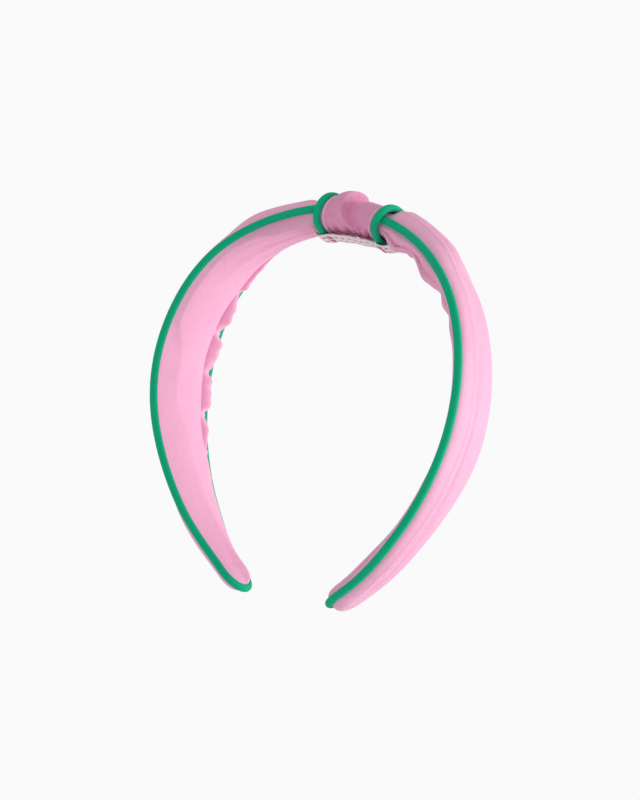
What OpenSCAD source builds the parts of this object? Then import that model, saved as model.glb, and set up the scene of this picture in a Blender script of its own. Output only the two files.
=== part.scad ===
// Knotted headband: a springy plastic strip in a loose piped cloth sleeve, gathered through a wrapped knot.
// The row frame has +Z up through the top of the band, which the knot sits beside, and Y across its width.
// The arms hang down at -X and +X. The origin is the centre of the crown arc, in the middle of the head's space.

/* [Band curve] */
// Radius of the crown arc, on the line of the piping
crown_r = 58; // [54:1:62]
// Angle of the crown arc, from the knot to each side
crown_a = 70; // [66:1:74]
// Radius of the side arcs
side_r = 82; // [76:1:90]
// Angle of each side arc
side_a = 37; // [32:1:40]
// Radius of the lower arm arcs
arm_r = 112; // [100:1:125]
// Angle of each lower arm arc
arm_a = 35; // [30:1:37]

/* [Sleeve] */
// Width between the piping lines where the sleeve is gathered into the knot
knot_w = 23; // [20:1:26]
// Width at the shoulder, a third of the way down
shoulder_w = 36; // [30:1:38]
// Width at the side, its widest
side_w = 42; // [36:1:46]
// Width of the lower arm
lower_w = 30; // [26:1:34]
// Width of the rounded tip
tip_w = 17; // [16:1:22]
// Height of the outer panel over the piping line near the knot
knot_rise = 5.5; // [4:0.5:5.5]
// Height of the outer panel at the side
side_rise = 4; // [3:0.5:5]
// Height of the outer panel near the tip
tip_rise = 3.5; // [3:0.5:5]
// Depth of the inner panel under the piping line near the knot
knot_sag = 4; // [3:0.5:4]
// Depth of the inner panel at the side
side_sag = 2.5; // [2:0.5:4]
// Depth of the inner panel near the tip
tip_sag = 3; // [2:0.5:4]
// Thickness of the sleeve cloth with its turned edges
cloth_t = 0.8; // [0.5:0.1:1]

/* [Core] */
// Thickness of the plastic strip
core_t = 1.4; // [1:0.1:1.8]
// Width of the plastic strip as a share of the sleeve width
core_share = 0.52; // [0.4:0.02:0.52]

/* [Piping] */
// Diameter of the band's piping
piping_d = 3; // [2.6:0.1:3.2]
// Diameter of the filler cord in it
filler_d = 1.9; // [1.4:0.1:2]
// Width of the piping's flange inside the seam
flange_w = 2; // [1:0.5:2]
// Thickness of that flange
flange_t = 0.4; // [0.3:0.1:0.4]
// Diameter of the seam thread
thread_d = 0.4; // [0.3:0.1:0.4]

/* [Knot] */
// Length of the knot along the band, over its two piped edges
knot_l = 28.6; // [22:0.2:30]
// How far the knot sits from the band's middle, towards +X
knot_shift = 8; // [0:0.5:8]
// Width inside the wrap, across the band
wrap_w = 26.4; // [26.4:0.2:28]
// Height inside the wrap
wrap_h = 8.8; // [8.8:0.2:10]
// Thickness of the folded wrap
wrap_t = 1; // [0.8:0.1:1.2]
// Diameter of the piping on the wrap's edges
edge_d = 2.8; // [2.4:0.1:3]
// Diameter of the filler cord in it
edge_filler_d = 1.8; // [1.4:0.1:2]

/* [Label] */
// Length of the woven label along the band
label_l = 34; // [28:1:36]
// Width of the label
label_w = 10; // [8:1:14]
// Thickness of the label
label_t = 0.4; // [0.3:0.1:0.6]

/* [Hidden] */
$fn = 48;

pink = [0.95, 0.68, 0.81];
deep_pink = [0.86, 0.57, 0.70];
green = [0.12, 0.69, 0.52];
white = [0.95, 0.94, 0.94];

gap = 0.1;       // clearance between pieces that lie together
root_gap = 1;    // clearance between an arm and the knot, for the arm's flexing
deg = 180 / PI;

// Lengths along the band from the top of the crown
crown_end = crown_r * crown_a / deg;
side_end = crown_end + side_r * side_a / deg;
band_end = side_end + arm_r * arm_a / deg;
root_at = knot_l / 2 + root_gap;
knot_turn = knot_shift / crown_r * deg;

// Length at which an arm starts, at the shifted knot
function start_of(side) = root_at + side * knot_shift;

// Centres of the side and arm arcs, each arc tangent to the one before
side_c = (crown_r - side_r) * [sin(crown_a), cos(crown_a)];
arm_c = side_c + (side_r - arm_r) * [sin(crown_a + side_a), cos(crown_a + side_a)];

// Heading of the band at a length s: 0 at the top, 90 straight down
function heading(s) =
    s < crown_end ? s / crown_r * deg
    : s < side_end ? crown_a + (s - crown_end) / side_r * deg
    : crown_a + side_a + (s - side_end) / arm_r * deg;

// Point at length s, y across the band and n outwards from the piping line
function at(s, y, n) =
    let (h = heading(s))
    let (c = s < crown_end ? [0, 0] : s < side_end ? side_c : arm_c)
    let (r = s < crown_end ? crown_r : s < side_end ? side_r : arm_r)
    [c[0] + (r + n) * sin(h), y, c[1] + (r + n) * cos(h)];

function outward(s) = [sin(heading(s)), 0, cos(heading(s))];

// Smooth curve through the stations [length, value]
function slope(p, i) =
    i == 0 || i == len(p) - 1 ? 0 : (p[i + 1][1] - p[i - 1][1]) / (p[i + 1][0] - p[i - 1][0]);
function span_of(p, s, i = 0) = i >= len(p) - 2 || s < p[i + 1][0] ? i : span_of(p, s, i + 1);
function smooth(p, s) =
    let (i = span_of(p, s), d = p[i + 1][0] - p[i][0])
    let (t = min(max((s - p[i][0]) / d, 0), 1))
    p[i][1] * (1 + 2 * t) * (1 - t) * (1 - t) + slope(p, i) * d * t * (1 - t) * (1 - t)
    + p[i + 1][1] * t * t * (3 - 2 * t) - slope(p, i + 1) * d * t * t * (1 - t);

// The band's half width, up to where the rounded tip starts
tip_r = tip_w / 2;
tip_start = band_end - tip_r;
half_widths = [
    [root_at, knot_w / 2], [0.3 * band_end, shoulder_w / 2], [0.55 * band_end, side_w / 2],
    [0.8 * band_end, lower_w / 2], [tip_start, tip_r]
];
function half_w(s) = smooth(half_widths, s);

// Half width of the shape that lies a distance in from the piping line, rounded off at the tip
function inset_w(s, d) =
    s <= tip_start ? half_w(s) - d : sqrt(max((tip_r - d) * (tip_r - d) - (s - tip_start) * (s - tip_start), 0));

// Triangles of a skin between rings of k points, m rings, starting at point o
function skin(m, k, o = 0, flip = false) = [
    for (i = [0 : m - 2], j = [0 : k - 1])
        let (a = o + i * k + j, b = o + i * k + (j + 1) % k)
        each (flip ? [[a, a + k, b], [b, a + k, b + k]] : [[a, b, a + k], [b, b + k, a + k]])
];
function mirrored(points, side) = [for (p = points) [side * p[0], p[1], p[2]]];

// A solid swept through rings of points, all with the same even count
module swept(rings, side) {
    k = len(rings[0]);
    m = len(rings);
    points = mirrored([for (r = rings) each r], side);
    e = (m - 1) * k;
    caps = [
        for (j = [0 : k / 2 - 2])
            let (q = k - 1 - j)
            each [[j, q, j + 1], [j + 1, q, q - 1], [e + j, e + j + 1, e + q], [e + j + 1, e + q - 1, e + q]]
    ];
    faces = concat(skin(m, k), caps);
    polyhedron(points, side > 0 ? faces : [for (f = faces) [f[2], f[1], f[0]]]);
}

// The same with a hole through it, its rings matched point to point with the outer ones
module swept_tube(rings, holes, side) {
    k = len(rings[0]);
    m = len(rings);
    o = m * k;
    points = mirrored(concat([for (r = rings) each r], [for (r = holes) each r]), side);
    ends = [
        for (j = [0 : k - 1])
            let (q = (j + 1) % k, e = (m - 1) * k)
            each [[q, j, o + j], [q, o + j, o + q], [e + j, e + q, o + e + j], [e + q, o + e + q, o + e + j]]
    ];
    faces = concat(skin(m, k), skin(m, k, o, true), ends);
    polyhedron(points, side > 0 ? faces : [for (f = faces) [f[2], f[1], f[0]]]);
}

// Lengths of the sections along an arm, and those round the tip
arm_steps = 24;
tip_steps = 8;
function arm_length(i, side) = start_of(side) + (tip_start - start_of(side)) * i / arm_steps;

// The seam line: down the front edge, round the tip and up the back edge, as [length, y]
function seam_line(d, side) = concat(
    [for (i = [0 : arm_steps - 1]) let (s = arm_length(i, side)) [s, -inset_w(s, d)]],
    [for (i = [0 : tip_steps]) let (a = 180 * i / tip_steps)
        [tip_start + (tip_r - d) * sin(a), -(tip_r - d) * cos(a)]],
    [for (i = [arm_steps - 1 : -1 : 0]) let (s = arm_length(i, side)) [s, inset_w(s, d)]]
);

// Rings of a section, given as [inwards, outwards] points, carried along the seam line
function seam_rings(section, side, d = 0, lift = 0) =
    let (line = seam_line(d, side))
    let (mid = [for (p = line) at(p[0], p[1], lift)], last = len(line) - 1)
    [for (i = [0 : last])
        let (t = mid[min(i + 1, last)] - mid[max(i - 1, 0)], n = outward(line[i][0]))
        let (b = cross(n, t) / norm(cross(n, t)))
        [for (q = section) mid[i] + q[0] * b + q[1] * n]];

function round_section(d, sides) = [for (j = [0 : sides - 1]) d / 2 * [cos(360 * j / sides), sin(360 * j / sides)]];

// Section of the piping cover: round, with the flange that is caught in the seam
cover_sides = 10;
cover_open = 8;          // half angle where the flange leaves the round part
cover_angles = [for (j = [0 : cover_sides - 1]) cover_open + j * (360 - 2 * cover_open) / (cover_sides - 1)];
cover_section = concat(
    [for (a = cover_angles) piping_d / 2 * [cos(a), sin(a)]],
    [[piping_d / 2 + flange_w, -flange_t / 2], [piping_d / 2 + flange_w, flange_t / 2]]
);
cover_hole = [
    for (a = concat(cover_angles, [-cover_open / 3, cover_open / 3])) (filler_d / 2 + gap / 2) * [cos(a), sin(a)]
];

// Section of a panel: a shallow crescent of cloth over half width w and height h
panel_points = 9;
panel_power = 2.6;
function arch(u) = pow(1 - pow(abs(u), panel_power), 0.5);
function panel_section(w, h) = concat(
    [for (i = [0 : panel_points - 1]) let (u = -cos(180 * i / (panel_points - 1))) [w * u, h * arch(u)]],
    [for (i = [panel_points - 1 : -1 : 0]) let (u = -cos(180 * i / (panel_points - 1)))
        [(w - cloth_t) * u, (h - cloth_t) * arch(u)]]
);

seam_inset = piping_d / 2 + gap;
panel_tip_r = tip_r - seam_inset;
panel_base = flange_t / 2 + gap;
function panel_lengths(side) = concat(
    [for (i = [0 : arm_steps]) arm_length(i, side)],
    [for (a = [20, 38, 54, 68]) tip_start + panel_tip_r * sin(a)]
);
rises = [
    [root_at, knot_rise], [0.3 * band_end, (knot_rise + side_rise) / 2], [0.55 * band_end, side_rise],
    [tip_start, tip_rise]
];
sags = [
    [root_at, knot_sag], [0.3 * band_end, (knot_sag + side_sag) / 2], [0.55 * band_end, side_sag],
    [tip_start, tip_sag]
];
function tip_fade(s) = s <= tip_start ? 1 : sqrt(inset_w(s, seam_inset) / panel_tip_r);
function outer_ring(s) = [
    for (q = panel_section(inset_w(s, seam_inset), smooth(rises, s) * tip_fade(s) - panel_base))
        at(s, q[0], panel_base + q[1])
];
function inner_ring(s) = [
    for (q = panel_section(inset_w(s, seam_inset), smooth(sags, s) * tip_fade(s) - panel_base))
        at(s, -q[0], -panel_base - q[1])
];

// Stadium outlines in the section plane of the crown, x across the band and y outwards
module stadium(w, h) {
    square([w - h, h], center = true);
    for (e = [-1, 1])
        translate([e * (w - h) / 2, 0])
            circle(d = h);
}

// Turns a section of the crown round the crown's axis, from -a to +a about the knot's middle
module round_crown(l) {
    a = l / crown_r * deg / 2;
    rotate([90, 0, 0])
        rotate([0, 0, 90 - a - knot_turn])
            rotate_extrude(angle = 2 * a)
                translate([crown_r, 0])
                    rotate([0, 0, 90])
                        mirror([0, 1])
                            children();
}

// Places a child, drawn in the XY plane, square to the band at length s from the knot's middle:
// x across the band, y outwards
module on_knot(s) {
    rotate([0, s / crown_r * deg + knot_turn, 0])
        translate([0, 0, crown_r])
            rotate([90, 0, 90])
                children();
}

// A closed round loop on a stadium path
module stadium_loop(w, h, d, hole) {
    for (e = [-1, 1])
        translate([e * (w - h) / 2, 0, 0])
            rotate([0, 0, e > 0 ? -90 : 90])
                rotate_extrude(angle = 180)
                    translate([h / 2, 0])
                        difference() {
                            circle(d = d);
                            if (hole > 0)
                                circle(d = hole);
                        }
    for (e = [-1, 1])
        translate([0, e * h / 2, 0])
            rotate([0, 90, 0])
                difference() {
                    cylinder(d = d, h = w - h, center = true);
                    if (hole > 0)
                        cylinder(d = hole, h = w - h, center = true);
                }
}

wrap_l = knot_l - 2 * edge_d - 2 * gap;
edge_at = knot_l / 2 - edge_d / 2;
edge_h = wrap_h + wrap_t + edge_d - 0.8;   // the piping stands a little proud of the wrap
edge_w = wrap_w + wrap_t + edge_d - 0.8;
core_w = core_share * knot_w;
gather_w = knot_w - piping_d - 2 * gap;
gather_h = wrap_h - 4 * gap;

module core_crown() {
    color(white)
        round_crown(knot_l)
            square([core_w, core_t], center = true);
}

module gathered_sleeve() {
    color(deep_pink)
        round_crown(knot_l)
            difference() {
                stadium(gather_w, gather_h);
                square([core_w + 2 * gap, core_t + 2 * gap], center = true);
            }
}

module gathered_piping() {
    color(green)
        round_crown(knot_l)
            for (e = [-1, 1])
                translate([e * knot_w / 2, 0])
                    difference() {
                        circle(d = piping_d);
                        circle(d = filler_d + gap);
                    }
}

module gathered_filler_cord() {
    color(white)
        round_crown(knot_l)
            for (e = [-1, 1])
                translate([e * knot_w / 2, 0])
                    circle(d = filler_d);
}

module knot_wrap() {
    color(deep_pink)
        round_crown(wrap_l)
            difference() {
                stadium(wrap_w + 2 * wrap_t, wrap_h + 2 * wrap_t);
                stadium(wrap_w, wrap_h);
            }
}

module knot_piping(side) {
    color(green)
        on_knot(side * edge_at)
            stadium_loop(edge_w, edge_h, edge_d, edge_filler_d + gap);
}
module knot_piping_left() { knot_piping(-1); }
module knot_piping_right() { knot_piping(1); }

module knot_filler_cord(side) {
    color(white)
        on_knot(side * edge_at)
            stadium_loop(edge_w, edge_h, edge_filler_d, 0);
}
module knot_filler_cord_left() { knot_filler_cord(-1); }
module knot_filler_cord_right() { knot_filler_cord(1); }

// Hand stitches across the closed ends of the wrap, underneath
stitch_count = 7;
stitch_l = 3.2;
stitch_d = 0.5;
module knot_closing_stitches() {
    color(deep_pink)
        for (i = [0 : stitch_count - 1])
            on_knot((i - (stitch_count - 1) / 2) * wrap_l / stitch_count)
                translate([0, -(wrap_h / 2 + wrap_t + stitch_d / 2), 0])
                    rotate([0, 90, 0])
                        cylinder(d = stitch_d, h = stitch_l, center = true);
}

label_n = -(edge_h / 2 + edge_d / 2 + gap);
module label() {
    color(white)
        round_crown(label_l)
            translate([0, label_n - label_t / 2])
                square([label_w, label_t], center = true);
}

// Four short stitches at each end of the label, under the knot's piped edges
module label_stitches() {
    color(white)
        for (e = [-1, 1], i = [-1.5 : 1 : 1.5])
            on_knot(e * edge_at)
                translate([i * label_w / 4.5, label_n - label_t - thread_d / 2, 0])
                    cylinder(d = thread_d, h = edge_d, center = true);
}

// The strip of one arm, its two broad faces on the three arcs and its edges cut to the sleeve's taper
arc_lap = 0.4;    // each arc runs back into the one before a little, so that they fuse
module arc_strip(c, r, from, to) {
    translate([c[0], 0, c[1]])
        rotate([90, 0, 0])
            rotate([0, 0, 90 - to])
                rotate_extrude(angle = to - from + arc_lap, $fn = 180)
                    translate([r, 0])
                        square([core_t, side_w], center = true);
}
core_end = tip_start + tip_r * 0.3;
core_tip_r = core_share * tip_r;
core_steps = 20;
function core_half_w(s) =
    s < core_end - core_tip_r ? core_share * half_w(min(s, tip_start))
    : sqrt(max(core_tip_r * core_tip_r - pow(s - core_end + core_tip_r, 2), 0));
function core_lengths(side) = concat(
    [for (i = [0 : core_steps]) start_of(side) + (core_end - core_tip_r - start_of(side)) * i / core_steps],
    [for (a = [15 : 15 : 90]) core_end - core_tip_r * (1 - sin(a))]
);
module arm_core(side) {
    start_a = start_of(side) / crown_r * deg + arc_lap;
    end_a = heading(core_end);
    lengths = core_lengths(side);
    root_w = core_half_w(start_of(side));
    color(white)
        mirror([side > 0 ? 0 : 1, 0, 0])
            intersection() {
                union() {
                    arc_strip([0, 0], crown_r, start_a, crown_a);
                    arc_strip(side_c, side_r, crown_a, crown_a + side_a);
                    arc_strip(arm_c, arm_r, crown_a + side_a, end_a);
                }
                rotate([90, 0, 90])
                    linear_extrude(2 * crown_r)
                        polygon(concat(
                            [[-root_w, crown_r]],
                            [for (s = lengths) [-core_half_w(s), at(s, 0, 0)[2]]],
                            [for (i = [len(lengths) - 2 : -1 : 0])
                                [core_half_w(lengths[i]), at(lengths[i], 0, 0)[2]]],
                            [[root_w, crown_r]]
                        ));
            }
}
module left_core() { arm_core(-1); }
module right_core() { arm_core(1); }

module outer_panel(side) {
    color(pink)
        swept([for (s = panel_lengths(side)) outer_ring(s)], side);
}
module left_outer_panel() { outer_panel(-1); }
module right_outer_panel() { outer_panel(1); }

module inner_panel(side) {
    color(pink)
        swept([for (s = panel_lengths(side)) inner_ring(s)], side);
}
module left_inner_panel() { inner_panel(-1); }
module right_inner_panel() { inner_panel(1); }

module piping(side) {
    color(green)
        swept_tube(seam_rings(cover_section, side), seam_rings(cover_hole, side), side);
}
module left_piping() { piping(-1); }
module right_piping() { piping(1); }

module filler_cord(side) {
    color(white)
        swept(seam_rings(round_section(filler_d, 8), side), side);
}
module left_filler_cord() { filler_cord(-1); }
module right_filler_cord() { filler_cord(1); }

// The thread lies in the groove between the piping and the outer panel
thread_in = piping_d / 2 - 0.15;
thread_up = piping_d / 2 - 0.35;
module seam_thread(side) {
    color(green)
        swept(seam_rings(round_section(thread_d, 6), side, thread_in, thread_up), side);
}
module left_seam_thread() { seam_thread(-1); }
module right_seam_thread() { seam_thread(1); }

core_crown();
gathered_sleeve();
gathered_piping();
gathered_filler_cord();
knot_wrap();
knot_piping_left();
knot_piping_right();
knot_filler_cord_left();
knot_filler_cord_right();
knot_closing_stitches();
label();
label_stitches();
left_core();
left_outer_panel();
left_inner_panel();
left_piping();
left_filler_cord();
left_seam_thread();
right_core();
right_outer_panel();
right_inner_panel();
right_piping();
right_filler_cord();
right_seam_thread();
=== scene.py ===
# A knotted headband: a springy plastic strip in a loose piped cloth sleeve, gathered through a wrapped knot.
# The arms' cloth, cords and strip are laid along the band from the knot to each arm, and the knot's own pieces
# ride on the crown.
import bisect
import math
from collections import namedtuple
from functools import lru_cache

import bmesh
import bpy
from mathutils import Matrix, Vector, noise


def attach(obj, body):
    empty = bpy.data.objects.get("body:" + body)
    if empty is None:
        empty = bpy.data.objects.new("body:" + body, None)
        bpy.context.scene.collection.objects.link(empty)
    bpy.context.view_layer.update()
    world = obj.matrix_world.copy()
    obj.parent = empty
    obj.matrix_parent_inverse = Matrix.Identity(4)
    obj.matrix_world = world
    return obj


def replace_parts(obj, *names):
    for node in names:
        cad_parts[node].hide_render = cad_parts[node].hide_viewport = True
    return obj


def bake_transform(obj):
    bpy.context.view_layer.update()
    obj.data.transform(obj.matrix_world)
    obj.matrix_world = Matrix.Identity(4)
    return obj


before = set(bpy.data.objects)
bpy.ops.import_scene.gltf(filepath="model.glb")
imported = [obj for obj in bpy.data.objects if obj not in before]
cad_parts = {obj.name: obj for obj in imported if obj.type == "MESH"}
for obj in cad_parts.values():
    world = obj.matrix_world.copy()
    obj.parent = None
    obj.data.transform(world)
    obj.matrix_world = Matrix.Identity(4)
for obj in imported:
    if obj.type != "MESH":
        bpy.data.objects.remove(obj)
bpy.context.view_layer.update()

# ---------------------------------------------------------------------------------------------
# The plastic strip
# One springy strip of milky plastic, 1.4 mm thick, lies loose in the sleeve from tip to tip.
# Its curve is the band's own, three arcs on each side, so every other piece is set out along it.
CROWN_R, CROWN_TURN = 0.058, math.radians(70)
SIDE_R, SIDE_TURN = 0.082, math.radians(37)
ARM_R, ARM_TURN = 0.112, math.radians(35)
CROWN_END = CROWN_R * CROWN_TURN
SIDE_END = CROWN_END + SIDE_R * SIDE_TURN
BAND_END = SIDE_END + ARM_R * ARM_TURN
TIP_R = 0.0085
TIP_START = BAND_END - TIP_R
KNOT_SHIFT = 0.008          # the knot sits a little to the right of the band's middle
RING_FACE = 0.0143          # from the knot's middle to the outside of its piped edge
STRIP_T = 0.0014
STRIP_SHARE = 0.52          # the strip's width as a share of the sleeve's
BENT_BY = 0.062             # a length along the band from the knot, where bends() finds each arm's point
SIDE_NAMES = {-1: "left", 1: "right"}


def heading(s):
    """The band's turn from the top, in radians, at length s along it."""
    if s < CROWN_END:
        return s / CROWN_R
    if s < SIDE_END:
        return CROWN_TURN + (s - CROWN_END) / SIDE_R
    return CROWN_TURN + SIDE_TURN + (s - SIDE_END) / ARM_R


def band_point(side, s, y, n):
    """The point at length s from the top, y across the band and n outwards from the piping's line."""
    turn = CROWN_TURN + SIDE_TURN
    side_x = (CROWN_R - SIDE_R) * math.sin(CROWN_TURN)
    side_z = (CROWN_R - SIDE_R) * math.cos(CROWN_TURN)
    arm_x = side_x + (SIDE_R - ARM_R) * math.sin(turn)
    arm_z = side_z + (SIDE_R - ARM_R) * math.cos(turn)
    if s < CROWN_END:
        x, z, r = 0.0, 0.0, CROWN_R
    elif s < SIDE_END:
        x, z, r = side_x, side_z, SIDE_R
    else:
        x, z, r = arm_x, arm_z, ARM_R
    h = heading(s)
    return Vector((side * (x + (r + n) * math.sin(h)), y, z + (r + n) * math.cos(h)))


def through(stations, s):
    """A smooth curve through [length, value] stations."""
    last = len(stations) - 1
    i = max([k for k in range(last) if s >= stations[k][0]], default=0)

    def slope(k):
        if k in (0, last):
            return 0.0
        return (stations[k + 1][1] - stations[k - 1][1]) / (stations[k + 1][0] - stations[k - 1][0])

    (s0, v0), (s1, v1) = stations[i], stations[i + 1]
    d = s1 - s0
    t = min(max((s - s0) / d, 0.0), 1.0)
    return (
        v0 * (1 + 2 * t) * (1 - t) ** 2 + slope(i) * d * t * (1 - t) ** 2
        + v1 * t * t * (3 - 2 * t) - slope(i + 1) * d * t * t * (1 - t)
    )


@lru_cache(maxsize=None)
def half_width(s):
    """Half the distance between the two piping lines."""
    return through([(0.0138, 0.0115), (0.0577, 0.018), (0.1057, 0.021), (0.1538, 0.015), (TIP_START, TIP_R)], s)


def inset_width(s, d):
    """The same for a line that lies d inside the piping, rounded off at the tip."""
    if s <= TIP_START:
        return half_width(s) - d
    return math.sqrt(max((TIP_R - d) ** 2 - (s - TIP_START) ** 2, 0.0))


def made(name, bm, material):
    """The finished bmesh as a smooth-shaded object at the origin."""
    mesh = bpy.data.meshes.new(name)
    for face in bm.faces:
        face.smooth = True
    bm.to_mesh(mesh)
    bm.free()
    mesh.materials.append(material)
    piece = bpy.data.objects.new(name, mesh)
    bpy.context.scene.collection.objects.link(piece)
    return piece


def laid_grid(across, along, place, weave=None, flip=False):
    """A grid of points moved to place(u, v), with u from -1 to 1 across and v from 0 to 1 along.
    Its map, weave(u, v), is in metres of flat cloth, so that a pattern follows the threads."""
    bm = bmesh.new()
    layer = bm.loops.layers.uv.new("weave")
    bmesh.ops.create_grid(bm, x_segments=across, y_segments=along, size=1.0)
    if weave:
        for face in bm.faces:
            for loop in face.loops:
                loop[layer].uv = weave(loop.vert.co.x, (loop.vert.co.y + 1) / 2)
    for vert in bm.verts:
        vert.co = place(vert.co.x, (vert.co.y + 1) / 2)
    if flip:
        bmesh.ops.reverse_faces(bm, faces=bm.faces)
    return bm


def walled(piece, thickness):
    """Gives a sheet its thickness, on the side away from its faces."""
    wall = piece.modifiers.new("wall", "SOLIDIFY")
    wall.thickness, wall.offset = thickness, -1


def bends(piece, side):
    """The piece already follows the crown in the knot and turns onto its arm past it; this bakes its placement
    into its mesh.
    """
    settled = band_point(side, BENT_BY, 0, 0)
    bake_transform(piece)
    return piece


class Sig:
    """A shader socket that takes part in ordinary arithmetic."""

    def __init__(self, finish, socket):
        self.finish, self.socket = finish, socket

    def _math(self, operation, *values):
        return self.finish.node("ShaderNodeMath", {"operation": operation}, dict(enumerate(values)))

    def __add__(self, other):
        return self._math("ADD", self, other)

    def __sub__(self, other):
        return self._math("SUBTRACT", self, other)

    def __mul__(self, other):
        return self._math("MULTIPLY", self, other)

    def __pow__(self, other):
        return self._math("POWER", self, other)

    def __rsub__(self, other):
        return self._math("SUBTRACT", other, self)

    __radd__, __rmul__ = __add__, __mul__

    def sin(self):
        return self._math("SINE", self)

    def abs(self):
        return self._math("ABSOLUTE", self)

    def fract(self):
        return self._math("FRACT", self)

    def least(self, other):
        return self._math("MINIMUM", self, other)

    def most(self, other):
        return self._math("MAXIMUM", self, other)

    def ramp(self, low, high):
        """0 below low, 1 above high, and smooth between them."""
        return self.finish.node(
            "ShaderNodeMapRange", {"interpolation_type": "SMOOTHSTEP"},
            {"Value": self, "From Min": low, "From Max": high}, "Result",
        )


class Finish:
    """A node material round one Principled shader."""

    def __init__(self, name, **constants):
        self.material = bpy.data.materials.new(name)
        self.material.use_nodes = True
        self.tree = self.material.node_tree
        self.shader = self.tree.nodes["Principled BSDF"]
        for socket, value in constants.items():
            self.shader.inputs[socket.replace("_", " ")].default_value = value

    def node(self, kind, settings=None, values=None, output=0):
        """Adds a node: its settings first, then its sockets' values or links. It gives back one output."""
        node = self.tree.nodes.new(kind)
        for key, value in (settings or {}).items():
            setattr(node, key, value)
        for key, value in (values or {}).items():
            if isinstance(value, Sig):
                self.tree.links.new(value.socket, node.inputs[key])
            else:
                node.inputs[key].default_value = value
        return Sig(self, node.outputs[output])

    def threads(self):
        """The piece's own cloth map, in metres, as two signals."""
        flat = self.node("ShaderNodeUVMap", {"uv_map": "weave"})
        split = self.node("ShaderNodeSeparateXYZ", None, {0: flat})
        return split, Sig(self, split.socket.node.outputs[1])

    def cloud(self, size, detail=3.0, roughness=0.5, stretch=(1, 1, 1)):
        """Soft noise on the object's own coordinates, with lumps of about that size in metres."""
        where = self.node("ShaderNodeTexCoord", None, None, "Object")
        scale = tuple(x / size for x in stretch)
        scaled = self.node("ShaderNodeMapping", None, {"Vector": where, "Scale": scale})
        values = {"Vector": scaled, "Scale": 1.0, "Detail": detail, "Roughness": roughness}
        return self.node("ShaderNodeTexNoise", None, values, "Fac")

    def blend_of(self, share, first, second):
        """A colour between two colours."""
        return self.node("ShaderNodeMix", {"data_type": "RGBA"}, {0: share, 6: first, 7: second}, 2)

    def to(self, socket, signal):
        self.tree.links.new(signal.socket, self.shader.inputs[socket])

    def bumps(self, height, distance, strength=1.0):
        values = {"Height": height, "Distance": distance, "Strength": strength}
        self.to("Normal", self.node("ShaderNodeBump", None, values, "Normal"))


def srgb(r, g, b):
    """A colour from its 0 to 255 values."""
    shares = [c / 255 for c in (r, g, b)]
    return tuple(c / 12.92 if c <= 0.04 else ((c + 0.055) / 1.055) ** 2.4 for c in shares) + (1.0,)


milky = Finish("milky_plastic", Roughness=0.35, Specular_IOR_Level=0.5)
flow = milky.cloud(0.02, 4.0, 0.6, (1, 1, 0.3))
milky.to("Base Color", milky.blend_of(flow, srgb(232, 230, 224), srgb(244, 243, 239)))
milky.to("Roughness", flow * 0.15 + 0.3)
milky.bumps(milky.cloud(0.0015, 2.0), 0.00002)

STRIP_END = TIP_START + TIP_R * 0.3     # the strip stops short of the sleeve's tip
STRIP_TIP_R = STRIP_SHARE * TIP_R


def strip_half_width(s):
    """Half the strip's width, with a round end and a hair's breadth left at the very tip."""
    straight = STRIP_END - STRIP_TIP_R
    if s < straight:
        return STRIP_SHARE * half_width(min(s, TIP_START))
    return math.sqrt(max(STRIP_TIP_R**2 - (s - straight) ** 2, 0.0)) + 0.0002


for side, name in SIDE_NAMES.items():
    def strip_point(u, v, side=side):
        start = RING_FACE + side * KNOT_SHIFT
        s = start + (STRIP_END - start) * v
        return band_point(side, s, u * strip_half_width(s), STRIP_T / 2)

    bm = laid_grid(8, 150, strip_point, flip=side > 0)
    strip = made(name + "_strip", bm, milky.material)
    walled(strip, STRIP_T)
    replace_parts(bends(strip, side), name + "_core")

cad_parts["core_crown"].data.materials.clear()
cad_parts["core_crown"].data.materials.append(milky.material)

# ---------------------------------------------------------------------------------------------
# The sleeve's panels
# Two panels of fine pink twill with a slight sheen, cut to the band's taper and sewn to the piping.
# The outer one stands in a soft dome. The inner one lies flat on the strip and is loose along its edges.
SEAM_INSET = 0.0012
CLOTH_T = 0.0005
HIGHLIGHT_IN = 0.0013         # a painted highlight line lies this far from the end of its cloth
SLEEVE_IN = 0.0100          # the arms' cloth starts inside the knot, this far from its middle
THREAD = 0.00026            # distance between the cloth's threads
TAKEN_UP = 0.003            # cloth that the dome and the seams take up, across the band
LEAST = 0.0003              # the cloth never lies closer to the piping's line than this
CUFF_HIGH, CUFF_DEEP = 0.0042, 0.0041   # the panels' places over and under that line, by the knot


def bell(x, centre, width):
    """1 at the centre, falling to nothing at about twice the width from it."""
    return math.exp(-(((x - centre) / width) ** 2))


def step(x, low, high):
    """0 below low, 1 above high, and smooth between them."""
    t = min(max((x - low) / (high - low), 0.0), 1.0)
    return t * t * (3 - 2 * t)


def twill(finish, pitch, turn=0.0):
    """Height of a fine twill, from 0 to 1, with its diagonal rib over two threads."""
    u, v = finish.threads()
    if turn:
        u, v = u * math.cos(turn) + v * math.sin(turn), v * math.cos(turn) - u * math.sin(turn)
    warp = (u * (math.pi / pitch)).sin().abs()
    weft = (v * (math.pi / pitch)).sin().abs()
    rib = ((u + v) * (math.pi / pitch)).sin() * 0.5 + 0.5
    return rib * 0.6 + rib * warp * 0.25 + (1 - rib) * weft * 0.3


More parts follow.
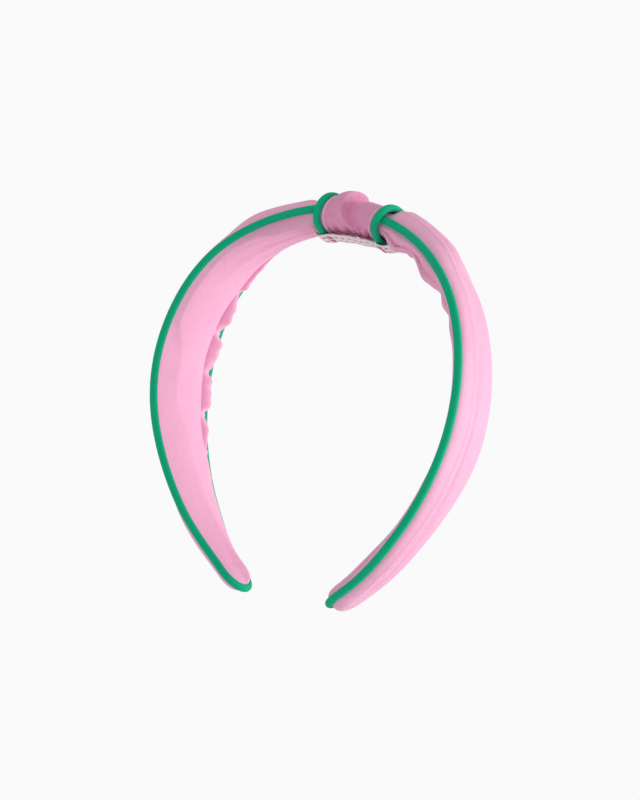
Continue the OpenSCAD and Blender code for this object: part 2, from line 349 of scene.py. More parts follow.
def pink_cloth(name, light, deep, worn, highlight_long=0.0):
    """The sleeve's pink twill: light on top of the threads, deeper between them.
    A piece of that length along its map has a pale line beside each end: a painted highlight where its folded
    edge catches the light."""
    cloth = Finish(name, Sheen_Weight=0.15, Sheen_Roughness=0.4, Specular_IOR_Level=0.2)
    weave = twill(cloth, THREAD)
    patches = cloth.cloud(0.018, 2.0)
    slubs = cloth.cloud(0.0012, 2.0, 0.6, (1, 1, 0.25))
    tone = cloth.blend_of(patches.ramp(0.3, 0.7), light, worn)
    shade = (weave * 0.5 + slubs * 0.5).ramp(0.15, 0.6)
    colour = cloth.blend_of(shade, deep, tone)
    # painted highlight: a pale line beside each end of the cloth, where its folded edge catches the light
    if highlight_long:
        _, v = cloth.threads()
        line = (v - HIGHLIGHT_IN).abs().least((v - (highlight_long - HIGHLIGHT_IN)).abs())
        pressed = (1 - line.ramp(0.0001, 0.00045)) * 0.75
        colour = cloth.blend_of(pressed, colour, srgb(255, 214, 232))
    cloth.to("Base Color", colour)
    cloth.to("Roughness", 0.66 - weave * 0.14)
    cloth.bumps(weave + slubs * 0.5, 0.00005, 0.7)
    return cloth.material


SLEEVE_PINK = pink_cloth("sleeve_twill", srgb(251, 188, 217), srgb(238, 164, 200), srgb(249, 182, 213))


def past_knot(side, s):
    """How far length s lies outside the knot's piped edge."""
    return s - RING_FACE - side * KNOT_SHIFT


@lru_cache(maxsize=None)
def outer_row(side, s):
    """One row of the outer panel: its height, and the strength and sideways drift of what lies on it."""
    p = past_knot(side, s)
    tip = {-1: 0.0036, 1: 0.0046}[side]
    tall = through(
        [(0.0138, 0.0050), (0.026, 0.0056), (0.0577, 0.0050), (0.1057, 0.0042), (TIP_START, tip)], s
    )
    if side < 0:
        tall += 0.0004 + 0.0016 * bell(s, 0.034, 0.009)
    else:
        tall += 0.0019 * (1 - step(s, 0.042, 0.056))
    tall = CUFF_HIGH + (tall - CUFF_HIGH) * (step(p, 0.0, 0.005) if side < 0 else step(p, -0.0012, 0.0024))
    if s > TIP_START:
        tall *= (max(inset_width(s, SEAM_INSET), 0.0) / (TIP_R - SEAM_INSET)) ** 0.45
    ridges = step(s, 0.045, 0.075) * (1 - step(s, 0.16, 0.185))
    pleats = step(p, 0.0, 0.004) * (1 - step(p, 0.02, 0.045))
    drift = 0.05 * math.sin(s * 60 + side)
    swell = step(p, 0.005, 0.02)
    return tall, ridges, pleats, drift, swell


def outer_height(side, s, u):
    """How far the outer panel stands over the piping's line."""
    tall, ridges, pleats, drift, swell = outer_row(side, s)
    dome = max(1 - abs(u) ** 2.6, 0.0) ** 0.5
    # soft ridges along the arm, where the cloth was pressed and eased
    pressed = 0.0006 * bell(u, -0.64 + drift, 0.07) - 0.0005 * bell(u, -0.46 + drift, 0.08)
    pressed += 0.0006 * bell(u, -0.24 - drift, 0.07) - 0.0005 * bell(u, -0.06 - drift, 0.09)
    pressed += 0.0004 * bell(u, 0.3 + drift, 0.1) - 0.0003 * bell(u, 0.55 + drift, 0.1)
    # pleats that run out of the knot beside the piping
    folds = 0.0009 * bell(u, -0.74 + s * 1.2, 0.08) - 0.0009 * bell(u, -0.5 + s * 1.2, 0.09)
    folds += 0.0007 * bell(u, -0.2 + s, 0.12) + 0.0006 * math.sin(u * 9 + s * 40) * (u > 0)
    lumps = 0.0007 * noise.noise(Vector((u * 1.1, s * 38, side * 3.1)))
    return LEAST + (tall - LEAST + pressed * ridges + folds * pleats + lumps * swell) * dome


# Where the loose edge of the inner panel is drawn in, as lengths along the band
DRAWN_IN = {
    -1: (0.060, 0.079, 0.096, 0.1145, 0.131, 0.142),
    1: (0.052, 0.071, 0.088, 0.106, 0.127, 0.145),
}
# Across the left arm: the fold line over the strip's near edge, and the crease past its far edge
NEAR_FOLD = [
    (0.080, -0.86), (0.0865, -0.66), (0.095, -0.42), (0.110, -0.46), (0.120, -0.2),
    (0.136, 0.0), (0.150, 0.06), (0.165, 0.2), (0.184, 0.42), (0.192, 0.5),
]
FAR_CREASE = [
    (0.020, 0.92), (0.028, 0.86), (0.042, 0.78), (0.057, 0.72), (0.068, 0.64), (0.078, 0.58),
    (0.093, 0.57), (0.104, 0.62), (0.116, 0.68), (0.125, 0.76), (0.140, 0.9), (0.192, 0.92),
]
# Along the right arm: how deep the loose cloth hangs beside its near piping
RUFFLE = [
    (0.0180, 0.0042), (0.0225, 0.0052), (0.0262, 0.0066), (0.0300, 0.0078), (0.0345, 0.0060),
    (0.0395, 0.0050), (0.0490, 0.0072), (0.0545, 0.0056), (0.0595, 0.0036), (0.0645, 0.0046),
    (0.0695, 0.0032), (0.0750, 0.0038), (0.082, 0.0031), (0.091, 0.0029), (0.100, 0.0026),
    (0.12, 0.0025), (0.15, 0.0030), (0.168, 0.0042), (TIP_START, 0.0036),
]


InnerRow = namedtuple("InnerRow", "flat end notches loose fold crest crease clear settled ruffle rolled")


@lru_cache(maxsize=None)
def inner_row(side, s):
    """One row of the inner panel: where its folds lie across the band, and how deep they are."""
    p = past_knot(side, s)
    flat = through([(0.0138, 0.0036), (0.0577, 0.0028), (0.1057, 0.0024), (TIP_START, 0.0026)], s)
    end = 1.0
    if s > TIP_START:
        end = (max(inset_width(s, SEAM_INSET), 0.0) / (TIP_R - SEAM_INSET)) ** 0.5
    loose = 0.0030 * step(s, 0.018, 0.040) * (1 - step(s, 0.128, 0.165))
    notches = min(sum(bell(s, at, 0.0030) for at in DRAWN_IN[side]), 1.0)
    ripple = 0.0004 * math.sin(s * 480 + side) + 0.0003 * math.sin(s * 1150)
    return InnerRow(
        flat=flat, end=end, notches=notches,
        loose=loose * (1 - 0.85 * notches) + ripple * step(loose, 0.0, 0.0015),
        fold=through(NEAR_FOLD, s), crest=0.0011 * step(s, 0.078, 0.092), crease=through(FAR_CREASE, s),
        clear=step(p - 0.0015 * (1 - side), -0.002, 0.004), settled=step(p, 0.003, 0.012),
        ruffle=through(RUFFLE, s) if side > 0 else 0.0,
        rolled=(1 - step(s, 0.026, 0.034)) * step(p, 0.0, 0.003),
    )


def inner_depth(side, s, u):
    """How far the inner panel lies under the piping's line."""
    row = inner_row(side, s)
    flat, loose, notches = row.flat, row.loose, row.notches
    depth = flat
    if side < 0:
        # from the near piping the cloth rises in a long slope to the fold line, which stands over the flat part
        if u < row.fold:
            rise = (u + 1) / (row.fold + 1)
            depth = flat * (0.35 + 0.65 * rise**1.3) + row.crest * rise * rise
        else:
            depth = flat + row.crest * (1 - step(u, row.fold, row.fold + 0.04))
        # a rolled fold lies beside the near piping where the sleeve leaves the knot
        depth += (0.0026 * bell(u, -0.84, 0.07) - 0.0011 * bell(u, -0.68, 0.045)) * row.rolled
    sides = max(1 - abs(u) ** (7 if u < 0 else 9), 0.0) ** 0.5
    far = row.crease if side < 0 else 0.6
    # past the strip's far edge the cloth dips into a crease and rolls inwards, drawn in again and again
    dip = 0.0022 * bell(u, far + 0.045, 0.035) * min(loose / 0.0012, 1.0)
    climb = step(u, far + 0.05, far + 0.22) * (1 - step(u, 0.87, 0.985))
    slack = flat * 0.8 * step(u, far + 0.05, 1.0) * (0.35 + 0.65 * notches) * min(loose / 0.0004, 1.0)
    depth += loose * climb - dip - slack * (u > far)
    if side > 0:
        # the right arm's near edge hangs in a deep ruffle below the knot
        wall = step(u, -1.0, -0.86) * (1 - step(u, -0.72, -0.3))
        depth += max(row.ruffle - flat, 0.0) * wall
    # shallow drags in the cloth
    drags = 0.0005 * noise.noise(Vector((u * 1.5, s * 60, side * 7.7 + 2)))
    near_knot = 1 - step(s, 0.03, 0.07)
    drags += 0.0009 * noise.noise(Vector((u * 4 + s * 60, s * 22, side * 1.7))) * row.clear * near_knot
    depth = CUFF_DEEP + (depth - CUFF_DEEP + drags * row.settled) * row.clear
    return LEAST + (depth - LEAST) * sides * row.end


def inner_sway(side, s, u):
    """How far the ruffle's wall is pushed inwards across the band by its own lengthwise folds."""
    if side < 0:
        return 0.0
    share = min((u + 1) / 0.28, 1.0)
    wave = math.sin(share * 2 * math.pi * 2.5 + s * 55 + 1.5 * noise.noise(Vector((s * 90, share * 1.5, 0.4))))
    hanging = inner_row(side, s).ruffle - 0.0028
    return hanging * 0.23 * wave * math.sin(share * math.pi) * step(s, 0.016, 0.022)


def sleeve_start(side):
    """Length along the band, from its middle, where an arm's cloth begins."""
    return SLEEVE_IN + side * KNOT_SHIFT


def panel_length(side, v):
    """Length along the band at share v of a panel, with the rows closer together round the tip."""
    straight = 0.94
    if v < straight:
        return sleeve_start(side) + (TIP_START - sleeve_start(side)) * v / straight
    turn = (v - straight) / (1 - straight) * math.radians(86)
    return TIP_START + (TIP_R - SEAM_INSET) * math.sin(turn)


def flat_area(side):
    """The flat area of one arm's panel, with the cloth that its dome and seams take up."""
    steps = 200
    width = sum(2 * inset_width(panel_length(side, (i + 0.5) / steps), 0) for i in range(steps)) / steps
    return (width + TAKEN_UP) * (BAND_END - sleeve_start(side))


for side, name in SIDE_NAMES.items():
    for label, hold in (("outer", "stretched"), ("inner", "gathered")):
        def panel_point(u, v, side=side, label=label):
            s = panel_length(side, v)
            u = math.sin(u * math.pi / 2)
            y = u * inset_width(s, SEAM_INSET)
            if label == "outer":
                return band_point(side, s, y, outer_height(side, s, u))
            return band_point(side, s, y + inner_sway(side, s, u), -inner_depth(side, s, u))

        def panel_map(u, v, side=side):
            s = panel_length(side, v)
            return math.sin(u * math.pi / 2) * max(inset_width(s, 0), 0.001), s

        bm = laid_grid(92, 400, panel_point, panel_map, flip=(side > 0) != (label == "outer"))
        panel = made(f"{name}_{label}_cloth", bm, SLEEVE_PINK)
        walled(panel, CLOTH_T)
        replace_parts(bends(panel, side), f"{name}_{label}_panel")
        BAND_END - sleeve_start(side)
        flat_area(side)

# ---------------------------------------------------------------------------------------------
# The band's piping
# A bias strip of green cotton folded round a soft cord and caught in the seam along both edges.
# It runs down the front edge, round the tip and up the back edge in one piece, with the needle's dents in it.
PIPING_R, CORD_R = 0.0015, 0.00095
COVER_T = 0.0004            # the bias strip's own thickness
DENT_PITCH = 0.0016         # distance between the machine's stitches


def seam_place(side, t, d=0.0):
    """The point at length t along the seam line, and its heading, its inward and its outward directions."""
    down = TIP_START - sleeve_start(side)
    turn = math.pi * TIP_R

    def at(t):
        if t < down:
            s = sleeve_start(side) + t
            return s, -inset_width(s, d)
        if t < down + turn:
            a = (t - down) / TIP_R
            return TIP_START + (TIP_R - d) * math.sin(a), -(TIP_R - d) * math.cos(a)
        s = TIP_START - (t - down - turn)
        return s, inset_width(s, d)

    (s, y), (s1, y1), (s0, y0) = at(t), at(t + 0.0004), at(t - 0.0004)
    centre = band_point(side, s, y, 0)
    ahead = (band_point(side, s1, y1, 0) - band_point(side, s0, y0, 0)).normalized()
    h = heading(s)
    out = Vector((side * math.sin(h), 0, math.cos(h)))
    inward = out.cross(ahead).normalized() * side
    return centre, ahead, inward, out


def seam_long(side):
    """The seam's length down one edge, round the tip and up the other."""
    return 2 * (TIP_START - sleeve_start(side)) + math.pi * TIP_R


def green_cloth(name, light, deep):
    """The piping's green cotton, a fine weave that runs aslant because the strip is cut on the bias."""
    cloth = Finish(name, Specular_IOR_Level=0.12)
    weave = twill(cloth, 0.0003, math.radians(38))
    fuzz = cloth.cloud(0.0007, 3.0, 0.65)
    shade = (weave * 0.55 + fuzz * 0.45).ramp(0.15, 0.65)
    cloth.to("Base Color", cloth.blend_of(shade, deep, light))
    cloth.to("Roughness", 0.72 - weave * 0.12)
    cloth.bumps(weave + fuzz * 0.6, 0.00009, 0.8)
    return cloth.material


PIPING_GREEN = green_cloth("piping_cotton", srgb(14, 190, 140), srgb(4, 154, 112))
twisted = Finish("twisted_cotton", Specular_IOR_Level=0.2)
cord_u, cord_v = twisted.threads()
ply = ((cord_u * 900 + cord_v * 2600).sin() * 0.5 + 0.5) ** 0.6
twisted.to("Base Color", twisted.blend_of(ply, srgb(206, 200, 186), srgb(240, 237, 228)))
twisted.to("Roughness", 0.95 - ply * 0.15)
twisted.bumps(ply, 0.0001)


def piped_tube(name, material, centre_at, long, radius, around, along, dents=None):
    """A round cord or its cover along a line. centre_at(t) gives the line's point, heading and two sides."""
    place = lru_cache(maxsize=None)(centre_at)

    def tube_point(u, v):
        centre, _, inward, out = place(v * long)
        a = u * math.pi
        r = radius * (1 - (dents(a, v * long) if dents else 0.0))
        return centre + (inward * math.cos(a) + out * math.sin(a)) * r

    bm = laid_grid(around, along, tube_point, lambda u, v: (u * math.pi * radius, v * long))
    bmesh.ops.remove_doubles(bm, verts=bm.verts, dist=radius * 0.02)
    bmesh.ops.recalc_face_normals(bm, faces=bm.faces)
    return made(name, bm, material)


def needle_dents(a, t):
    """Small dents where each stitch pulls the cover down, on the side that meets the outer panel."""
    beside = bell(a, 0.75, 0.4) + bell(a, -0.75, 0.4)
    pull = 0.5 + 0.5 * math.cos(2 * math.pi * t / DENT_PITCH)
    return beside * (0.02 + 0.07 * pull * pull)


for side, name in SIDE_NAMES.items():
    line = lambda t, side=side: seam_place(side, t)
    long = seam_long(side)
    cover = piped_tube(
        name + "_piping_cover", PIPING_GREEN, line, long, PIPING_R, around=18, along=920, dents=needle_dents
    )
    walled(cover, COVER_T)
    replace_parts(bends(cover, side), name + "_piping")

    cord = piped_tube(name + "_piping_cord", twisted.material, line, long, CORD_R, around=10, along=300)
    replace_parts(bends(cord, side), name + "_filler_cord")

# The seam is closed by a row of small green stitches in the groove between piping and outer panel.
stitch_green = Finish("green_thread", Roughness=0.5, Specular_IOR_Level=0.4)
thread_noise = stitch_green.cloud(0.0004, 2.0)
stitch_green.to("Base Color", stitch_green.blend_of(thread_noise, srgb(16, 132, 98), srgb(44, 178, 136)))
stitch_green.bumps(thread_noise, 0.00003)
THREAD_R = 0.00018
STITCH_LONG = 0.0011
SEAM_FREE = 0.005           # the row stops this far short of each end of the seam


def stitch(bm, middle, ahead, out, long, r=THREAD_R):
    """One short stitch: a slim rounded bead that lies along the seam."""
    across = out.cross(ahead).normalized()
    turn = Matrix((ahead, across, ahead.cross(across))).transposed().to_4x4()
    place = Matrix.Translation(middle) @ turn @ Matrix.Diagonal((long / 2, r, r, 1))
    bmesh.ops.create_uvsphere(
        bm, u_segments=6, v_segments=5, radius=1.0, matrix=place @ Matrix.Rotation(math.pi / 2, 4, "Y")
    )


for side, name in SIDE_NAMES.items():
    bm = bmesh.new()
    count = int((seam_long(side) - 2 * SEAM_FREE) / DENT_PITCH)
    for i in range(count):
        t = SEAM_FREE + (i + 0.5) * DENT_PITCH
        centre, ahead, inward, out = seam_place(side, t)
        groove = centre + inward * 0.00125 + out * 0.00105
        stitch(bm, groove, ahead, out, STITCH_LONG)
    row = made(name + "_seam_stitches", bm, stitch_green.material)
    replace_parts(bends(row, side), name + "_seam_thread")

# ---------------------------------------------------------------------------------------------
# Inside the knot
# The sleeve, its piping and its cords run on through the knot, where the wrap gathers them into pleats.
# None of it shows, but it fills the wrap and joins the two arms.
KNOT_LONG = 0.0228          # length of the wrap between its two piped edges
OUTLINE_STEPS = 720         # short straight stretches that an oval outline is measured in
LEAN, LEAN_EASES = 0.42, 0.27   # the knot's lean at its left end, and how much less it is at its right end
RUN_AT = 0.0092             # from the band's middle line to each run of piping inside the knot


def oval(wide, high, power):
    """An oval outline across the band. It gives back its length round, and a function from a share of the way
    round, starting underneath and going to the front, to its point and its outward direction."""
    points, lengths = [], [0.0]
    for k in range(OUTLINE_STEPS + 1):
        a = 2 * math.pi * k / OUTLINE_STEPS
        sine, cosine = math.sin(a), math.cos(a)
        y = -wide * math.copysign(abs(sine) ** (2 / power), sine)
        n = -high * math.copysign(abs(cosine) ** (2 / power), cosine)
        points.append((y, n))
        if k:
            lengths.append(lengths[-1] + math.hypot(y - points[-2][0], n - points[-2][1]))

    def at(share):
        want = (share % 1.0) * lengths[-1]
        k = min(max(bisect.bisect_right(lengths, want) - 1, 0), OUTLINE_STEPS - 1)
        part = (want - lengths[k]) / max(lengths[k + 1] - lengths[k], 1e-9)
        y = points[k][0] + (points[k + 1][0] - points[k][0]) * part
        n = points[k][1] + (points[k + 1][1] - points[k][1]) * part
        ny = math.copysign(abs(y / wide) ** (power - 1), y) / wide
        nn = math.copysign(abs(n / high) ** (power - 1), n) / high
        size = math.hypot(ny, nn)
        return y, n, ny / size, nn / size

    return lengths[-1], at


def leaning(s, n):
    """The knot leans: its top is pushed right and its underside left, most of all at its left end."""
    share = (s / KNOT_LONG) + 0.5
    return s + 0.0002 - 0.0012 * share + (LEAN - LEAN_EASES * share) * n


def over_crown(s, y, n):
    """The point at length s from the knot's middle, y across the band and n outwards."""
    turn = (s + KNOT_SHIFT) / CROWN_R
    return Vector(((CROWN_R + n) * math.sin(turn), y, (CROWN_R + n) * math.cos(turn)))


def along_crown(s):
    """The band's direction at length s from the knot's middle."""
    turn = (s + KNOT_SHIFT) / CROWN_R
    return Vector((math.cos(turn), 0, -math.sin(turn)))


GATHER_ROUND, gather_at = oval(0.0080, 0.0040, 2.6)


def gathered_point(u, v):
    """A point of the sleeve inside the wrap, drawn into fourteen pleats all round."""
    s = (v - 0.5) * KNOT_LONG
    y, n, ny, nn = gather_at((u + 1) / 2)
    pleat = 0.0008 * math.sin(u * math.pi * 14) * (1 + 0.2 * math.sin(s * 500)) - 0.0003
    return over_crown(s, y + ny * pleat, n + nn * pleat)


bm = laid_grid(168, 16, gathered_point, lambda u, v: (u * GATHER_ROUND / 2, v * KNOT_LONG))
bmesh.ops.remove_doubles(bm, verts=bm.verts, dist=0.00002)
bmesh.ops.recalc_face_normals(bm, faces=bm.faces)
gathered = made("gathered_cloth", bm, SLEEVE_PINK)
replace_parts(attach(gathered, "crown"), "gathered_sleeve")

for edge, place in ((-1, "front"), (1, "back")):
    def inner_run(t, edge=edge):
        s = t - SLEEVE_IN + 0.0001
        out = over_crown(s, 0, 1) - over_crown(s, 0, 0)
        return over_crown(s, edge * RUN_AT, 0), along_crown(s), Vector((0, -edge, 0)), out

    run = 2 * SLEEVE_IN - 0.0002
    cover = piped_tube(f"gathered_piping_{place}", PIPING_GREEN, inner_run, run, PIPING_R, around=14, along=24)
    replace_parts(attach(cover, "crown"), "gathered_piping")
    cord = piped_tube(f"gathered_cord_{place}", twisted.material, inner_run, run, CORD_R, around=10, along=24)
    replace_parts(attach(cord, "crown"), "gathered_filler_cord")

# ---------------------------------------------------------------------------------------------
# The knot's piped edges
# Each end of the wrap is bound with the same green bias piping, a closed loop round a cord of its own.
EDGE_AT = 0.0129            # from the knot's middle to the middle of each piped edge
EDGE_R, EDGE_CORD_R = 0.0014, 0.0009
BESIDE = 0.002              # share of the way round to the neighbours that give the edge's direction
EDGE_LONG, edge_at = oval(0.0147, 0.0066, 2.3)


def edge_place(side, t):
    """The point at length t round one piped edge, and its direction and two sides."""
    y, n, ny, nn = edge_at(t / EDGE_LONG)
    y1, n1, _, _ = edge_at(t / EDGE_LONG + BESIDE)
    y0, n0, _, _ = edge_at(t / EDGE_LONG - BESIDE)
    s = side * EDGE_AT
    centre = over_crown(leaning(s, n), y, n)
    ahead = (over_crown(leaning(s, n1), y1, n1) - over_crown(leaning(s, n0), y0, n0)).normalized()
    out = over_crown(leaning(s, n), y + ny, n + nn) - centre
    beside = out.cross(ahead).normalized()
    return centre, ahead, beside, ahead.cross(beside)


for side, name in SIDE_NAMES.items():
    loop = lambda t, side=side: edge_place(side, t)
    ring = piped_tube(f"knot_edge_{name}", PIPING_GREEN, loop, EDGE_LONG, EDGE_R, around=20, along=300)
    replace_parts(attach(ring, "crown"), f"knot_piping_{name}")
    cord = piped_tube(f"knot_cord_{name}", twisted.material, loop, EDGE_LONG, EDGE_CORD_R, around=10, along=120)
    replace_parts(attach(cord, "crown"), f"knot_filler_cord_{name}")

# ---------------------------------------------------------------------------------------------
# The knot's wrap
# A folded strip of the same twill goes round the gathered sleeve and is closed underneath.
# One deep tuck rolls over its front, from the crest on top down to the right-hand corner below.
WRAP_ROUND, wrap_at = oval(0.0142, 0.0062, 2.3)
WRAP_T = 0.0007             # the folded strip's thickness


def tuck_line(a):
    """Where the tuck's crease lies along the wrap, at a share of the way round from underneath."""
    return through([
        (0.0, 0.88), (0.08, 0.80), (0.13, 0.66), (0.18, 0.50), (0.24, 0.37), (0.31, 0.31),
        (0.37, 0.32), (0.42, 0.35), (0.47, 0.39), (0.56, 0.42), (0.75, 0.42), (1.0, 0.4),
    ], a)


def wrap_height(a, v):
    """How far the wrap's cloth stands off its oval, a share a of the way round and v along."""
    c = tuck_line(a)
    big = through([
        (0.0, 0.0), (0.1, 0.0006), (0.18, 0.0016), (0.28, 0.0022), (0.4, 0.0026),
        (0.48, 0.0022), (0.54, 0.0009), (0.62, 0.0002), (1.0, 0.0),
    ], a)
    deep = through([
        (0.0, 0.0), (0.12, 0.0006), (0.2, 0.0014), (0.32, 0.0020), (0.42, 0.0013), (0.52, 0.0003), (1.0, 0.0),
    ], a)
    # the cloth rises to the tuck's fold, drops over it into a pocket and comes up again
    rise = big * step(v, c - 0.30, c - 0.05) * (1 - step(v, c - 0.03, c + 0.03))
    pocket = deep * step(v, c - 0.02, c + 0.04) * (1 - step(v, c + 0.06, c + 0.34))
    # a fine ridge along each sewn edge, and small puckers by the closing stitches
    rim = 0.0005 * (bell(v, 0.055, 0.018) + bell(v, 0.945, 0.018))
    below = bell(a, 0.07, 0.06) + bell(a, 0.93, 0.06)
    pucker = 0.0005 * math.sin(v * math.pi * 13 + 2 * math.sin(v * 9)) * below
    drag = 0.0004 * bell(v, 0.72 - 0.5 * (a - 0.3), 0.05) * bell(a, 0.24, 0.09)
    swell = 0.00035 * noise.noise(Vector((a * 7, v * 2.2, 4.4)))
    inside = step(v, 0.0, 0.05) * (1 - step(v, 0.95, 1.0))
    return (rise - pocket + drag + pucker + swell) * inside + rim


def wrap_point(u, v):
    """A point of the wrap, u round it and v along it. The tuck's fold also hangs over to the right."""
    a = (u + 1) / 2
    s = (v - 0.5) * (KNOT_LONG + 0.0006)
    y, n, ny, nn = wrap_at(a)
    h = wrap_height(a, v)
    overhang = 0.0011 * bell(v, tuck_line(a) - 0.03, 0.035) * step(a, 0.08, 0.2) * (1 - step(a, 0.46, 0.6))
    return over_crown(leaning(s, n) + overhang, y + ny * h, n + nn * h)


# The wrap is the sleeve's own twill. Its deeper pinks are painted shade, and its length gives it a painted
# highlight line beside each sewn edge.
KNOT_SHADED_PINK = pink_cloth("knot_twill_painted_shade", srgb(242, 168, 204), srgb(216, 138, 176), srgb(234, 158, 196), KNOT_LONG)
bm = laid_grid(260, 120, wrap_point, lambda u, v: (u * WRAP_ROUND / 2, v * KNOT_LONG))
bmesh.ops.remove_doubles(bm, verts=bm.verts, dist=0.00002)
bmesh.ops.recalc_face_normals(bm, faces=bm.faces)
wrap = made("knot_wrap_cloth", bm, KNOT_SHADED_PINK)
walled(wrap, WRAP_T)
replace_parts(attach(wrap, "crown"), "knot_wrap")

# ---------------------------------------------------------------------------------------------
# The knot's hand stitches
# Seven pink stitches close the wrap underneath.
HAND_STITCHES = 7
CLOSED_AT = -0.0066         # where the wrap's underside lies, outwards from the piping's line
pink_thread = Finish("pink_thread", Roughness=0.5, Specular_IOR_Level=0.4)
pink_noise = pink_thread.cloud(0.0004, 2.0)
pink_thread.to("Base Color", pink_thread.blend_of(pink_noise, srgb(214, 120, 166), srgb(240, 168, 205)))
pink_thread.bumps(pink_noise, 0.00003)
bm = bmesh.new()
for i in range(HAND_STITCHES):
    s = (i - 3) * KNOT_LONG / HAND_STITCHES
    aslant = Vector((0.25, 1, 0)).normalized()
    middle = over_crown(leaning(s, CLOSED_AT), 0, CLOSED_AT)
    stitch(bm, middle, aslant, Vector((0, 0, -1)), long=0.0032, r=0.00025)
closing = made("knot_hand_stitches", bm, pink_thread.material)
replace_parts(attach(closing, "crown"), "knot_closing_stitches")

# ---------------------------------------------------------------------------------------------
# The label
# A narrow woven tape with a plain pattern of small pink lozenges, sewn under the knot at both ends.
# It is longer than the knot and bows a little between its stitches.
LABEL_LONG, LABEL_WIDE, LABEL_T = 0.034, 0.010, 0.0004
LABEL_N = -0.0083           # the label's place, outwards from the piping's line
LABEL_SEWN = 0.0126         # from its middle to the stitches at each end
LOZENGE = 0.0026            # length of one lozenge and its gap


def label_point(u, v):
    """A point of the tape, which bows in the middle and turns up at both ends."""
    s = (v - 0.5) * LABEL_LONG * CROWN_R / (CROWN_R + LABEL_N)
    bow = 0.0006 * bell(s, 0.0, 0.007) + 0.0002 * math.sin(s * 700)
    curl = 0.0003 * u * u + 0.0030 * step(-s, 0.0168, 0.0198) + 0.0028 * step(s, 0.0136, 0.0198)
    return over_crown(s, u * LABEL_WIDE / 2, LABEL_N - bow * 0.6 + curl)


tape = Finish("label_tape", Sheen_Weight=0.1, Specular_IOR_Level=0.35)
across, along = tape.threads()
rows = (across * (2 * math.pi / 0.0005)).sin() * 0.5 + 0.5
picks = (along * (2 * math.pi / 0.0004)).sin() * 0.5 + 0.5
cell = ((along * (1 / LOZENGE)).fract() - 0.5).abs()
high = (across.abs() - 0.0022).abs() * (1 / 0.0032)
lozenge = 1 - (cell + high).ramp(0.26, 0.34)
between = (((along * (1 / LOZENGE)) + 0.5).fract() - 0.5).abs()
dash = (1 - between.ramp(0.1, 0.16)) * (1 - high.ramp(0.05, 0.1))
motif = lozenge.most(dash)
plain = tape.blend_of(rows * 0.5 + picks * 0.5, srgb(240, 236, 238), srgb(254, 252, 253))
tape.to("Base Color", tape.blend_of(motif * 0.85, plain, srgb(214, 50, 112)))
tape.to("Roughness", 0.75 - picks * 0.12)
tape.bumps(rows * 0.5 + picks + motif * 0.8, 0.00006)
bm = laid_grid(20, 68, label_point, lambda u, v: (u * LABEL_WIDE / 2, v * LABEL_LONG), flip=True)
label = made("woven_label", bm, tape.material)
walled(label, LABEL_T)
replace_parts(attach(label, "crown"), "label")

label_thread = Finish("label_thread", Roughness=0.6, Specular_IOR_Level=0.3)
thread_cloud = label_thread.cloud(0.0004, 2.0)
label_thread.to("Base Color", label_thread.blend_of(thread_cloud, srgb(200, 60, 118), srgb(232, 96, 150)))
label_thread.bumps(thread_cloud, 0.00003)
bm = bmesh.new()
for end in (-1, 1):
    for i in range(4):
        s = end * LABEL_SEWN
        middle = over_crown(s, (i - 1.5) * LABEL_WIDE / 4.5, LABEL_N - LABEL_T - 0.0001)
        stitch(bm, middle, along_crown(s), Vector((0, 0, -1)), long=0.0026, r=0.0002)
sewn = made("label_sewing", bm, label_thread.material)
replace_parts(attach(sewn, "crown"), "label_stitches")

# ---------------------------------------------------------------------------------------------
# The studio
# A pale floor well below and a near-white surround that lights all sides evenly. One large soft light stands
# to the right and slightly behind, and a wide weak one glows from below.
SURROUND = 0.955            # the surround's and the floor's brightness as seen
LIT = 0.66                  # the strength of the even light from all sides
FLOOR_AT = -0.45
floor_paint = bpy.data.materials.new("pale_floor")
floor_paint.use_nodes = True
nodes, links = floor_paint.node_tree.nodes, floor_paint.node_tree.links
nodes.remove(nodes["Principled BSDF"])
glow = nodes.new("ShaderNodeEmission")
glow.inputs["Color"].default_value = (SURROUND, SURROUND, SURROUND * 1.003, 1)
links.new(glow.outputs[0], nodes["Material Output"].inputs["Surface"])
bm = bmesh.new()
bmesh.ops.create_grid(bm, x_segments=4, y_segments=4, size=6.0, matrix=Matrix.Translation((0, 0, FLOOR_AT)))
floor = made("studio_floor", bm, floor_paint)
floor.visible_diffuse = floor.visible_glossy = False

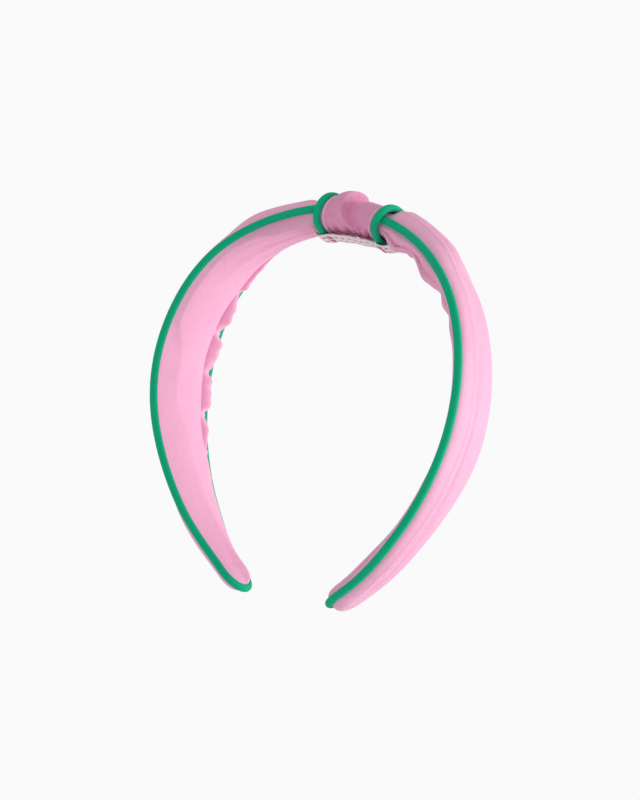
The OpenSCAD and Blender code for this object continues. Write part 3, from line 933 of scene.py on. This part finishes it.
world = bpy.data.worlds.new("studio")
bpy.context.scene.world = world
world.use_nodes = True
nodes, links = world.node_tree.nodes, world.node_tree.links
seen, lit = nodes["Background"], nodes.new("ShaderNodeBackground")
seen.inputs["Color"].default_value = (SURROUND, SURROUND, SURROUND * 1.003, 1)
lit.inputs["Color"].default_value = (1, 1, 1, 1)
lit.inputs["Strength"].default_value = LIT
pick, rays = nodes.new("ShaderNodeMixShader"), nodes.new("ShaderNodeLightPath")
links.new(rays.outputs["Is Camera Ray"], pick.inputs[0])
links.new(lit.outputs[0], pick.inputs[1])
links.new(seen.outputs[0], pick.inputs[2])
links.new(pick.outputs[0], nodes["World Output"].inputs["Surface"])


def soft_light(name, place, size, power):
    """A square white lamp that faces the part."""
    lamp = bpy.data.lights.new(name, "AREA")
    lamp.size, lamp.energy = size, power
    light = bpy.data.objects.new(name, lamp)
    light.location = place
    light.rotation_euler = (-Vector(place)).to_track_quat("-Z", "Y").to_euler()
    bpy.context.scene.collection.objects.link(light)


soft_light("key_right", place=(1.10, 0.48, 0.0), size=0.7, power=10.3)
soft_light("glow_below", place=(0.05, -0.02, -1.5), size=1.6, power=9.0)

# The camera stands a little right of the front and just under the band's middle, slightly tilted.
TARGET = Vector((0, 0, -0.0215))
CAMERA_FAR = 0.424
CAMERA_SIDE, CAMERA_UP, CAMERA_ROLL = math.radians(23), math.radians(-4.3), math.radians(-8.6)
back = Vector((
    math.sin(CAMERA_SIDE) * math.cos(CAMERA_UP),
    -math.cos(CAMERA_SIDE) * math.cos(CAMERA_UP),
    math.sin(CAMERA_UP),
))
right = Vector((math.cos(CAMERA_SIDE), math.sin(CAMERA_SIDE), 0))
up = back.cross(right)
rolled_right = right * math.cos(CAMERA_ROLL) - up * math.sin(CAMERA_ROLL)
rolled_up = right * math.sin(CAMERA_ROLL) + up * math.cos(CAMERA_ROLL)
lens = bpy.data.cameras.new("camera")
lens.lens = 50.4
lens.shift_x, lens.shift_y = 0.007875, 0.027
lens.clip_start, lens.clip_end = 0.01, 20
camera = bpy.data.objects.new("camera", lens)
camera.matrix_world = Matrix.Translation(TARGET + back * CAMERA_FAR) @ Matrix(
    (rolled_right, rolled_up, back)
).transposed().to_4x4()
bpy.context.scene.collection.objects.link(camera)
bpy.context.scene.camera = camera
bpy.context.scene.view_settings.view_transform = "Standard"
